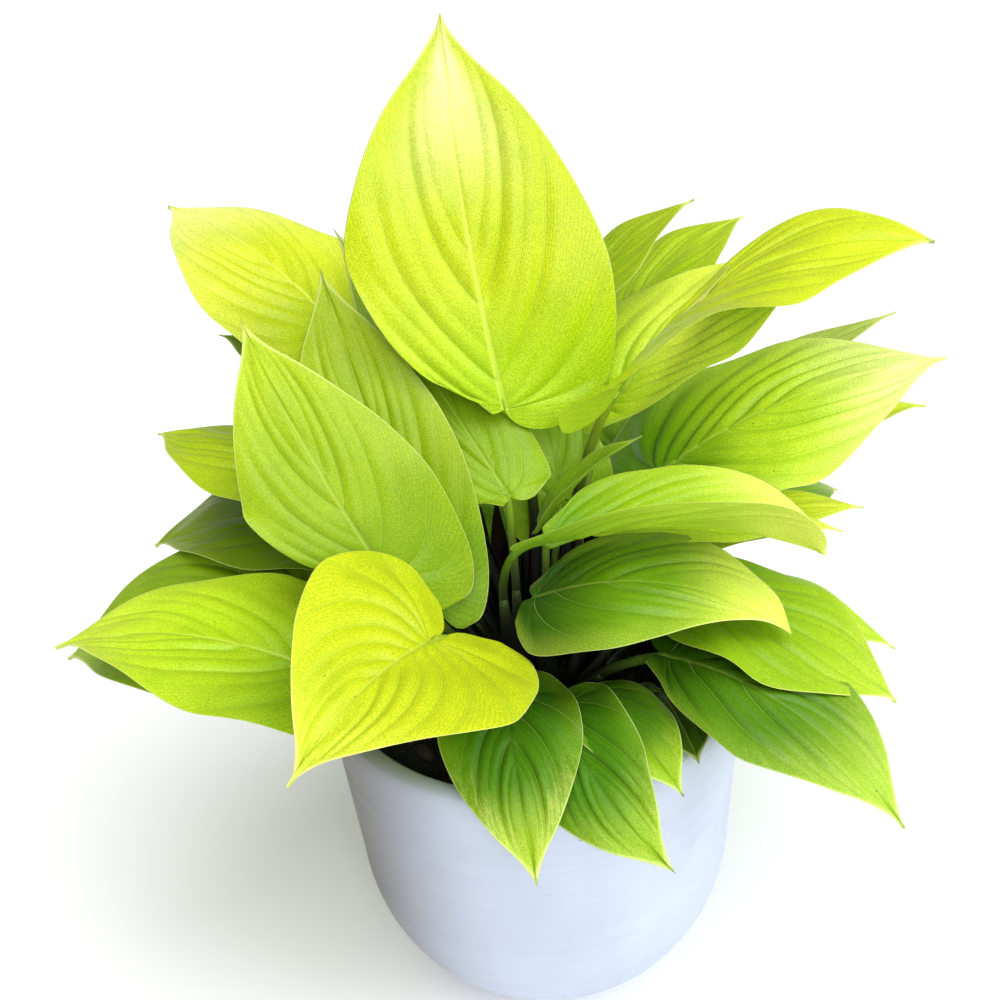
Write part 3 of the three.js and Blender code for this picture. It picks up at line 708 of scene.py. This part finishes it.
def relief(leaf, detail, nearest, strength, across, forward, column, phase):
    # height added to both faces, to the upper face and to the lower face
    scale = leaf["wide"] / detail["usualWidth"]
    size = scale * leaf["veins"] * strength
    inner = smoothStep(0.0, 0.12, column) * (1 - smoothStep(0.72, 1.0, column))
    fade = 1 - smoothStep(0.55, 1.0, forward)
    quilt = np.exp(-(nearest / detail["quiltWidth"]) ** 2) * inner * (0.35 + 0.65 * fade)
    waves = np.sin(forward * detail["wavesAlong"] + phase)
    waves = waves * np.sin(column * detail["wavesAcross"] + 2.3 * phase) * inner
    both = detail["waviness"] * scale * waves - detail["quiltDepth"] * size * quilt
    crease = np.exp(-(nearest / detail["creaseWidth"]) ** 2) * (1 - smoothStep(0.5, 0.98, column))
    crease = detail["creaseDepth"] * size * crease
    groove = np.exp(-(across / detail["grooveWidth"]) ** 2) * (1 - 0.6 * np.clip(forward, 0, 1))
    groove = detail["grooveDepth"] * (1.9 - leaf["pale"]) * groove
    rib = np.exp(-(across / detail["ribWidth"]) ** 2) * (1.12 - np.clip(forward, 0, 1))
    rib = detail["ribHeight"] * scale * rib * smoothStep(-0.01, 0.03, forward)
    return both, -crease - groove, crease + rib


tintPlaces = {
    # shares of the blade's length or half width between which a colour comes in
    "middle": (0.0, 0.40),
    "tip": (0.45, 0.95),
    "tipShare": 0.95,
    "tipEdge": 0.45,         # how softly the tip's colour ends beyond tipSpread
    "rim": (0.55, 1.0),
    "rimShare": 0.18,        # how much of the tip's colour the whole rim has
    "dry": (0.975, 0.995),
    "dryColour": "6a4a26",
    "mottleAcross": (0.40, 1.0),
    "mottleAlong": (0.25, 0.75),
}


def leafTints(leaf, places, forward, column):
    near, middle, far = (linearColour(code) for code in leaf["colours"])
    spread = leaf["tipSpread"]
    tint = blendedTints(near, middle, smoothStep(*places["middle"], forward))
    inner = 1 - smoothStep(spread, spread + places["tipEdge"], column)
    share = smoothStep(*places["tip"], forward) * places["tipShare"] * inner
    tint = blendedTints(tint, far, share)
    share = smoothStep(*places["rim"], column) * places["rimShare"] * (spread > 1)
    tint = blendedTints(tint, far, share)
    share = smoothStep(*places["dry"], forward) * leaf["dry"]
    return blendedTints(tint, linearColour(places["dryColour"]), share)


def bladeMesh(leaf, detail, places, number):
    # rows of 15 numbers: the point, its place, marks and kind for the material, its tint
    vein, column = np.meshgrid(veinRows(detail), detail["columns"], indexing="ij")
    rowCount, columnCount = vein.shape
    scale = leaf["wide"] / detail["usualWidth"]
    ids, values, faces = {}, [], []
    sides = [bladeSide(leaf, detail, hand, vein, column) for hand in (1, 0)]
    middleNormal = unit(sides[0][1][:, 0] + sides[1][1][:, 0])
    for hand, (here, normal, forward, across, rim) in zip((1, 0), sides):
        normal[:, 0] = middleNormal
        distance, line, nearest, strength = veinDistance(leaf, detail, vein, here)
        phase = number * 1.7 + hand     # no two halves have the same waves
        both, upper, lower = relief(leaf, detail, nearest, strength, across, forward, column, phase)
        line = line + 20 * number + 300 * hand      # nor the same grain
        place = np.stack((line, column if hand else -column, forward), axis=-1)
        ribWidth = 0.25 + detail["ribLineWidth"] * np.clip(1 - forward, 0, 1) ** 1.3 * scale
        marks = np.stack((distance, across / ribWidth, rim), axis=-1)
        mottle = smoothStep(*places["mottleAcross"], column)
        mottle = leaf["mottle"] * mottle * smoothStep(*places["mottleAlong"], forward)
        tint = leafTints(leaf, places, forward, column)
        half = detail["thickness"] / 2 * (1 - column ** detail["edgeRounding"])
        for face in (1, 0):
            lift = both + (half + upper * (column < 1) if face else -half - lower * (column < 1))
            spot = here + normal * lift[..., None]
            kind = np.stack(np.broadcast_arrays(1.0 - face, mottle, leaf["pale"]), axis=-1)
            grid = np.concatenate((spot, place, marks, kind, tint), axis=-1)
            numbers = np.zeros(vein.shape, int)
            for c in range(columnCount):
                key = (face, hand, c)
                if c == 0:
                    key = ("rib", face)     # both halves share it
                elif c == columnCount - 1:
                    key = ("rim", hand)     # both faces share it
                if key not in ids:
                    ids[key] = len(ids) * rowCount + np.arange(rowCount)
                    values.append(grid[:, c])
                numbers[:, c] = ids[key]
            a, b = numbers[:-1, :-1], numbers[1:, :-1]
            c, d = numbers[1:, 1:], numbers[:-1, 1:]
            order = (a, d, c, b) if hand == face else (a, b, c, d)
            faces.append(np.stack(order, axis=-1).reshape(-1, 4))
            if face:
                upperEdge = numbers[0]
        # the inner edge of the lobe closes the blade at row 0
        lowerEdge = numbers[0]
        strip = np.stack((upperEdge[:-1], lowerEdge[:-1], lowerEdge[1:], upperEdge[1:]), axis=-1)
        faces.append(strip if hand else strip[:, ::-1])
    return np.concatenate(values), np.concatenate(faces)


def stalkPath(leaf, detail):
    joint, _, face = bladeFrame(leaf)[:3]
    foot = np.array((*leaf["root"], detail["footZ"]), float)
    middle = foot + (joint - foot) * detail["middleAcross"]
    middle[2] = foot[2] + (joint[2] - foot[2]) * detail["middleUp"]
    middle = middle + np.array(leaf["bend"], float)
    base = np.array((*leaf["root"], detail["baseZ"]), float)
    t = np.linspace(0, 1, detail["rings"])[:, None]
    path = foot * (1 - t) ** 2 + middle * 2 * t * (1 - t) + joint * t ** 2
    path[-1] -= face * detail["jointDepth"]
    count = len(detail["tail"])
    under = np.arange(1, count + 1) / count * detail["underBlade"]
    beneath = bladePoint(leaf, under, np.zeros(count), np.zeros(count))
    return np.concatenate((base[None], path, beneath - face * detail["underDepth"]))


def sheathMesh(path, radius, detail, root):
    # the thin winged sheath at the foot of a stalk, open towards the plant's middle
    count = int(len(path) * detail["sheathReach"])
    heading = unit(np.gradient(path, axis=0))
    middle = detail["plantMiddle"]
    outward = unit(np.array((root[0] - middle[0], root[1] - middle[1], 0.0)))
    topOpen, footOpen = detail["sheathOpen"]
    columns = detail["sheathColumns"]
    points = []
    for k in range(count):
        s = k / (count - 1)
        away = unit(outward - heading[k] * outward.dot(heading[k]))
        aside = np.cross(heading[k], away)
        wide = radius[k] * (1.04 + (detail["sheathFlare"] - 1) * (1 - s) ** 0.8)
        span = math.radians(topOpen + (footOpen - topOpen) * (1 - s))
        turn = np.linspace(-span, span, columns)
        ring = np.cos(turn)[:, None] * away + np.sin(turn)[:, None] * aside
        spine = path[k] - away * (wide - radius[k]) * 0.6
        edge = detail["sheathEdge"] * (1 - 0.6 * np.abs(turn / span) ** 3)[:, None]
        points += [spine + ring * wide, (spine + ring * (wide - edge))[::-1]]
    step = 2 * columns
    faces = ringFaces(count, step)
    for low, turned in ((0, False), ((count - 1) * step, True)):
        for c in range(columns - 1):
            quad = (low + c, low + step - 1 - c, low + step - 2 - c, low + c + 1)
            faces.append(quad[::-1] if turned else quad)
    return np.concatenate(points), faces, np.repeat(np.linspace(0, 1, count), step)


def stalkMesh(leaf, detail):
    path = stalkPath(leaf, detail)
    count = len(path)
    tail = len(detail["tail"])
    share = np.linspace(0, 1, count)
    thick = detail["thick"] if leaf["wide"] > detail["narrowBlade"] else detail["thin"]
    radius = thick * (1 - detail["taper"] * share)
    radius *= 1 + detail["footSwelling"] * np.exp(-(share / detail["footShare"]) ** 2)
    radius[-tail:] = radius[-tail - 1] * np.array(detail["tail"])
    heading = unit(np.gradient(path, axis=0))
    across = np.array((1.0, 0.0, 0.0))
    sides = detail["sides"]
    turn = np.arange(sides) * 2 * np.pi / sides
    points = []
    for k in range(count):
        across = unit(across - heading[k] * across.dot(heading[k]))
        other = np.cross(heading[k], across)
        ring = np.cos(turn)[:, None] * across + np.sin(turn)[:, None] * other
        points.append(path[k] + ring * radius[k])
    points = np.concatenate(points)
    faces = ringFaces(count, sides)
    faces += [tuple(range(sides))[::-1], tuple(range((count - 1) * sides, count * sides))]
    sheath, sheathFaces, along = sheathMesh(path[:-tail], radius, detail, leaf["root"])
    faces += [tuple(len(points) + i for i in face) for face in sheathFaces]
    # nearly black at the foot: partly the stalks' own dark foot, partly painted shade for the deep
    # shadow among them; then half the usual tint and half the blade's own
    foot = linearColour(detail["footShadeTint"])
    top = blendedTints(linearColour(detail["tint"]), linearColour(leaf["colours"][0]), np.array(0.5))
    places = np.concatenate((np.repeat(share, sides), along * detail["sheathReach"]))
    tints = blendedTints(foot, top, smoothStep(detail["tintFrom"], detail["tintTo"], places))
    return np.concatenate((points, sheath)), tints, faces


def makeLeaf(leaf, number, materials):
    blade, bladeFaces = bladeMesh(leaf, bladeDetail, tintPlaces, number)
    stalk, stalkTints, stalkFaces = stalkMesh(leaf, stalkDetail)
    count = len(blade)
    values = np.zeros((count + len(stalk), blade.shape[1]))
    values[:count] = blade
    values[count:, :3] = stalk
    values[count:, -3:] = stalkTints
    points, place, marks, kind, tints = np.split(values, 5, axis=1)
    faces = [tuple(int(i) for i in face) for face in bladeFaces]
    faces += [tuple(count + i for i in face) for face in stalkFaces]
    faceMaterials = [0] * len(bladeFaces) + [1] * len(stalkFaces)
    points = np.clip(points, cadLow, cadHigh)
    piece = makeObject(leaf["name"] + "Leaf", points, faces, materials, faceMaterials)
    addValues(piece, "leafPlace", "FLOAT_VECTOR", place)
    addValues(piece, "leafMarks", "FLOAT_VECTOR", marks)
    addValues(piece, "leafKind", "FLOAT_VECTOR", kind)
    addTints(piece, tints)
    weld(piece)
    node = leaf["name"] + "_leaf"
    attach(piece, "root")
    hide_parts(node)


leafMaterials = [leafMaterial(leafFinish), stalkMaterial(stalkFinish)]
for number, leaf in enumerate(leaves):
    makeLeaf({**usualLeaf, **leaf}, number, leafMaterials)
print("leaves made,", len(leaves))


# Dry brown sheaths of leaves that have died, still standing behind the stalks. They are dark as
# painted shade: they fill the gap between the stalks, which lies in deep shadow.

shadeSheaths = {
    # x and y of the foot, z of the top
    "places": ((-24, 36, 182), (-17, 40, 190), (-10, 42, 190), (-3, 38, 188), (4, 42, 186),
               (13, 40, 188), (20, 41, 190), (27, 39, 192), (30.5, 42, 197), (34, 35, 190)),
    "rings": 16,
    "radius": 3.1,
    "thinning": 0.75,        # at the top
    "flare": 1.8,
    "footAbove": 2.0,        # above the stalks' lower ends
    "lean": 0.9,             # where the top stands, as a share of the foot's place
    "topForward": 2.0,
    "bow": 3.0,
    # painted shade: dark browns for the deep shadow behind the stalks
    "footShadeTint": "15110c",
    "topTint": "33281a",
}


def makeShadeSheaths(old, detail, material):
    shape = {**detail, "sheathReach": 1.0, "sheathFlare": old["flare"]}
    low, high = linearColour(old["footShadeTint"]), linearColour(old["topTint"])
    t = np.linspace(0, 1, old["rings"])[:, None]
    radius = old["radius"] * (1 - old["thinning"] * t[:, 0] ** 4)
    bow = np.array((0, old["bow"], 0)) * t * (1 - t) * 4
    points, faces, tints = [], [], []
    count = 0
    for x, y, top in old["places"]:
        foot = np.array((x, y, detail["baseZ"] + old["footAbove"]))
        tip = np.array((x * old["lean"], y * old["lean"] - old["topForward"], top))
        path = foot + (tip - foot) * t + bow
        sheath, sheathFaces, share = sheathMesh(path, radius, shape, (x, y))
        points.append(sheath)
        faces += [tuple(count + i for i in face) for face in sheathFaces]
        tints.append(blendedTints(low, high, share))
        count += len(sheath)
    piece = makeObject("shadeSheaths", np.concatenate(points), faces, [material])
    addTints(piece, np.concatenate(tints))
    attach(piece, "root")


makeShadeSheaths(shadeSheaths, stalkDetail, leafMaterials[1])


# Pot

pot = {
    "height": 140,
    "rimRadius": 80,
    "wallRadiusLow": 75,
    "roundingHeight": 66,
    "footRadius": 20,
    "footFlat": 0.6,         # share of the foot that gets a ring of points
    "footStep": (3, 0.6),    # from the foot's edge to where the rounding starts
    "roundingSteps": 30,
    "wallSteps": 12,
    "lip": ((0, -4), (-1.2, -1.2), (-4, 0), (-7, -0.8), (-8.5, -3.5)),   # from the rim's corner
    "lipSteps": 20,
    "rimThickness": 8.5,
    "floor": 18,
    "innerCorner": (16, 14),     # in from the wall and up from the floor
    "floorEdge": 34,
    "sides": 160,
    "colour": "c4cde0",
    "shade": "a4acbc",
    "shadeShare": 0.35,
    "turningShare": 0.12,
    # painted shade: the pot gets darker towards its left edge, as if that side lay in shadow
    "leftShadow": "686058",
    "leftShadowFrom": (-0.084, -0.022),    # x in metres, all of it to none
    "algae": "6c7f2c",
    "algaeFrom": (0.126, 0.137),     # z in metres
    "algaeShare": 0.8,
    "scuff": "4a4c50",
    "scuffShare": 0.5,
    "roughness": (0.42, 0.56),
    "gloss": 0.45,
    "bump": (0.25, 0.0004),
}


def turnedPiece(name, profile, sides, materials):
    # turns (radius, height) pairs about the upright axis, from axis to axis
    ringRows = [p for p in profile if p[0] > 1e-6]
    turn = np.arange(sides) * 2 * np.pi / sides
    points = [(radius * math.cos(t), radius * math.sin(t), height)
              for radius, height in ringRows for t in turn]
    faces = ringFaces(len(ringRows), sides)
    first, last = len(points), len(points) + 1
    points += [(0, 0, profile[0][1]), (0, 0, profile[-1][1])]
    top = (len(ringRows) - 1) * sides
    for s in range(sides):
        faces.append((first, (s + 1) % sides, s))
        faces.append((last, top + s, top + (s + 1) % sides))
    return makeObject(name, points, faces, materials)


def potInside(vessel, wallGap=0.0, floorGap=0.0):
    # the corners of the inside below the straight wall, drawn in by the gaps
    low = vessel["wallRadiusLow"]
    inward, upward = vessel["innerCorner"]
    return [(low - vessel["rimThickness"] - wallGap, vessel["roundingHeight"]),
            (low - inward - floorGap, vessel["floor"] + upward),
            (low - vessel["floorEdge"] - floorGap, vessel["floor"])]


def potProfile(vessel):
    foot = vessel["footRadius"]
    stepOut, stepUp = vessel["footStep"]
    outside = [(0, 0), (foot * vessel["footFlat"], 0), (foot, 0)]
    for k in range(1, vessel["roundingSteps"] + 1):
        turn = math.radians(90 * k / vessel["roundingSteps"])
        radius = foot + stepOut + (vessel["wallRadiusLow"] - foot - stepOut) * math.sin(turn)
        outside.append((radius, stepUp + vessel["roundingHeight"] * (1 - math.cos(turn))))
    knots = [(vessel["rimRadius"] + out, vessel["height"] + up) for out, up in vessel["lip"]]
    low, high = outside[-1], knots[0]
    steps = vessel["wallSteps"]
    wall = [(low[0] + (high[0] - low[0]) * k / steps, low[1] + (high[1] - low[1]) * k / steps)
            for k in range(1, steps)]
    places = np.linspace(0, len(knots) - 1, vessel["lipSteps"] + 1)
    radii, heights = (throughKnots(values, places) for values in zip(*knots))
    lip = list(zip(radii, np.minimum(heights, vessel["height"])))
    return outside + wall + lip + potInside(vessel) + [(0, vessel["floor"])]


def potMaterial(finish):
    material = bpy.data.materials.new("potCeramic")
    maker = NodeMaker(material)
    here = maker.place()
    x, _, z = maker.split(here)
    shade = paint(finish["shade"])
    cloudy = maker.mask(maker.noise(here, 22.0, 4.0), 0.35, 0.75, 0.0, finish["shadeShare"])
    colour = maker.mix(cloudy, paint(finish["colour"]), shade)
    turning = maker.noise(maker.place((9, 9, 620)), 1.0, 4.0, 0.6)
    colour = maker.mix(maker.mask(turning, 0.35, 0.75, 0.0, finish["turningShare"]), colour, shade)
    # painted shade, darker towards the pot's left edge
    colour = maker.mix(maker.mask(x, *finish["leftShadowFrom"], 1.0, 0.0), colour, paint(finish["leftShadow"]))
    nearRim = maker.mask(z, *finish["algaeFrom"])
    lumps = maker.mask(maker.noise(here, 30.0, 3.0), 0.48, 0.62)
    specks = maker.mask(maker.noise(here, 900.0, 3.0, 0.7), 0.56, 0.66)
    algae = maker.times(maker.times(nearRim, lumps), specks)
    algae = maker.times(algae, finish["algaeShare"])
    colour = maker.mix(algae, colour, paint(finish["algae"]))
    scuffs = maker.mask(maker.noise(maker.place((120, 120, 500)), 1.0, 2.0, 0.5), 0.74, 0.78)
    scuffs = maker.times(scuffs, finish["scuffShare"])
    colour = maker.mix(scuffs, colour, paint(finish["scuff"]))
    pits = maker.noise(here, 700.0, 3.0, 0.6)
    height = maker.math("MULTIPLY_ADD", turning, 0.7, maker.times(pits, 0.3))
    normal = maker.bump(height, finish["bump"])
    roughness = maker.mask(turning, 0.2, 0.8, *finish["roughness"])
    maker.finish(Base_Color=colour, Roughness=roughness, Normal=normal,
                 Specular_IOR_Level=finish["gloss"])
    return material


potPiece = turnedPiece("potTurned", potProfile(pot), pot["sides"], [potMaterial(pot)])
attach(potPiece, "root")
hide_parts("pot")
print("pot turned")


# Potting mix

pottingMix = {
    "top": 131,
    "mound": 4,
    "moundRadius": 30,
    "slope": ((24, 2.6), (8, 1.5)),      # from the edge inwards, and up from the top
    "gap": 0.3,
    "floorGap": 0.4,
    "rings": 46,
    "sides": 120,
    "roughHeight": 0.78,
    "crumbs": 900,
    "crumbSize": (0.7, 2.6),
    "crumbStretch": (0.8, 1.3),
    "chips": 60,
    "chipSize": (1.6, 4.2),
    "chipStretch": (1.3, 2.0),
    "clearEdge": 5,
    "sink": (-0.2, 0.35),    # of a crumb, as a share of its size
    "seed": 7,
    "colour": "0b0d0c",
    "lightColour": "201d18",
    "chipColour": "3a3026",
    "roughness": 0.93,
    "gloss": 0.25,
    "bump": (0.8, 0.0008),
}

lumpShape = {
    "levels": ((-0.8, 0.55), (-0.2, 1.0), (0.4, 0.85), (0.9, 0.35)),     # height and width
    "sides": 6,
    "flatness": 0.8,
    "uneven": (0.7, 1.1),
    "tilt": 0.6,
}


def wallRadius(vessel, z):
    low = vessel["wallRadiusLow"] - vessel["rimThickness"]
    high = vessel["rimRadius"] - vessel["rimThickness"]
    top = vessel["height"] + vessel["lip"][-1][1]
    rounding = vessel["roundingHeight"]
    return low + (high - low) * (z - rounding) / (top - rounding)


def mixHeight(bed, radius, edge):
    (outer, outerUp), (inner, innerUp) = bed["slope"]
    knots = np.array((0, bed["moundRadius"], edge - outer, edge - inner, edge))
    heights = bed["top"] + np.array((bed["mound"], bed["mound"], outerUp, innerUp, 0))
    return float(np.interp(radius, knots, heights))


def mixMaterial(finish):
    material = bpy.data.materials.new("pottingMix")
    maker = NodeMaker(material)
    here = maker.place()
    shade = maker.attribute("crumbShade", "Fac")
    grains = maker.noise(here, 520.0, 5.0, 0.7)
    colour = maker.mix(maker.mask(grains, 0.45, 0.75, 0.0, 0.8), paint(finish["colour"]),
                       paint(finish["lightColour"]))
    colour = maker.mix(shade, colour, paint(finish["chipColour"]))
    normal = maker.bump(grains, finish["bump"])
    maker.finish(Base_Color=colour, Roughness=finish["roughness"], Normal=normal,
                 Specular_IOR_Level=finish["gloss"])
    return material


def lump(draw, shape, centre, size, stretch):
    # one crumb: a few rings of corners, each drawn a little in or out
    corners = []
    for level, width in shape["levels"]:
        for s in range(shape["sides"]):
            turn = s * math.tau / shape["sides"] + level
            radius = size * width * draw.uniform(*shape["uneven"])
            corners.append((radius * math.cos(turn) * stretch, radius * math.sin(turn),
                            size * level * shape["flatness"]))
    turned = Matrix.Rotation(draw.uniform(0, math.tau), 3, "Z")
    tilted = Matrix.Rotation(draw.uniform(-shape["tilt"], shape["tilt"]), 3, "X")
    return [tuple(turned @ tilted @ Vector(c) + Vector(centre)) for c in corners]


def lumpFaces(shape, start):
    sides, levels = shape["sides"], len(shape["levels"])
    top = start + (levels - 1) * sides
    caps = [tuple(start + s for s in reversed(range(sides))), tuple(top + s for s in range(sides))]
    return caps + ringFaces(levels, sides, start)


def makeMix(bed, vessel):
    draw = random.Random(bed["seed"])
    edge = wallRadius(vessel, bed["top"]) - bed["gap"]
    sides = bed["sides"]
    turn = np.arange(sides) * 2 * np.pi / sides
    points = [(0, 0, bed["top"] + bed["mound"])]
    for k in range(1, bed["rings"] + 1):
        radius = edge * k / bed["rings"]
        for t in turn:
            rough = draw.uniform(-1, 1) * bed["roughHeight"] if k < bed["rings"] else 0
            points.append((radius * math.cos(t), radius * math.sin(t),
                           mixHeight(bed, radius, edge) + rough))
    inside = potInside(vessel, bed["gap"], bed["floorGap"])
    for radius, height in inside:
        points += [(radius * math.cos(t), radius * math.sin(t), height) for t in turn]
    faces = [(0, 1 + s, 1 + (s + 1) % sides) for s in range(sides)]
    faces += ringFaces(bed["rings"] + len(inside), sides, 1, turned=True)
    bottom = len(points)
    points.append((0, 0, vessel["floor"]))
    faces += [(bottom, bottom - sides + (s + 1) % sides, bottom - sides + s) for s in range(sides)]
    shades = [0.0] * len(points)
    for kind in ("crumb", "chip"):
        low, high = bed[kind + "Size"]
        for _ in range(bed[kind + "s"]):
            radius = (edge - bed["clearEdge"]) * math.sqrt(draw.random())
            t = draw.uniform(0, math.tau)
            size = low + (high - low) * draw.random() ** 2
            z = mixHeight(bed, radius, edge) + size * draw.uniform(*bed["sink"])
            centre = (radius * math.cos(t), radius * math.sin(t), z)
            stretch = draw.uniform(*bed[kind + "Stretch"])
            corners = lump(draw, lumpShape, centre, size, stretch)
            faces += lumpFaces(lumpShape, len(points))
            points += corners
            shade = draw.random() ** 4 * 0.6 if kind == "crumb" else draw.uniform(0.25, 0.8)
            shades += [shade] * len(corners)
    piece = makeObject("pottingMix", points, faces, [mixMaterial(bed)])
    addValues(piece, "crumbShade", "FLOAT", shades)
    return piece


mixPiece = makeMix(pottingMix, pot)
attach(mixPiece, "root")
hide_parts("soil")
print("potting mix filled in")


# Floor, light and colour handling

studio = {
    "floorColour": "f4f4f4",
    "floorSize": 60.0,       # metres to each side
    "floorGlow": 0.12,
    "floorRoughness": 0.9,
    "floorGloss": 0.1,
    "skyStrength": 0.26,
    # name, from where, strength, width in degrees, colour
    "lights": [
        ("frontLight", (0.15, -0.86, 0.50), 1.1, 24, (1.0, 1.0, 0.97)),
        ("sideLight", (0.85, -0.30, 0.45), 1.5, 35, (0.84, 0.92, 1.0)),
        ("topLight", (0.12, -0.32, 0.94), 2.1, 50, (1.0, 1.0, 1.0)),
    ],
}


def makeFloor(look):
    size = look["floorSize"]
    corners = [(-size, -size, 0), (size, -size, 0), (size, size, 0), (-size, size, 0)]
    mesh = bpy.data.meshes.new("floor")
    mesh.from_pydata(corners, [], [(0, 1, 2, 3)])
    floor = bpy.data.objects.new("floor", mesh)
    bpy.context.scene.collection.objects.link(floor)
    material = bpy.data.materials.new("floorPale")
    pale = paint(look["floorColour"])
    NodeMaker(material).finish(
        Base_Color=pale, Roughness=look["floorRoughness"], Specular_IOR_Level=look["floorGloss"],
        Emission_Color=pale, Emission_Strength=look["floorGlow"])
    mesh.materials.append(material)


def makeLight(look):
    world = bpy.data.worlds.new("studioSky")
    world.use_nodes = True
    background = world.node_tree.nodes["Background"]
    background.inputs["Color"].default_value = (1, 1, 1, 1)
    background.inputs["Strength"].default_value = look["skyStrength"]
    bpy.context.scene.world = world
    for name, place, strength, width, colour in look["lights"]:
        data = bpy.data.lights.new(name, "SUN")
        data.angle = math.radians(width)
        data.energy = strength
        data.color = colour
        lamp = bpy.data.objects.new(name, data)
        lamp.location = place
        lamp.rotation_euler = (-Vector(place)).to_track_quat("-Z", "Y").to_euler()
        bpy.context.scene.collection.objects.link(lamp)
    settings = bpy.context.scene.view_settings
    settings.view_transform = "Standard"
    settings.look = "None"


makeFloor(studio)
makeLight(studio)
print("studio ready")
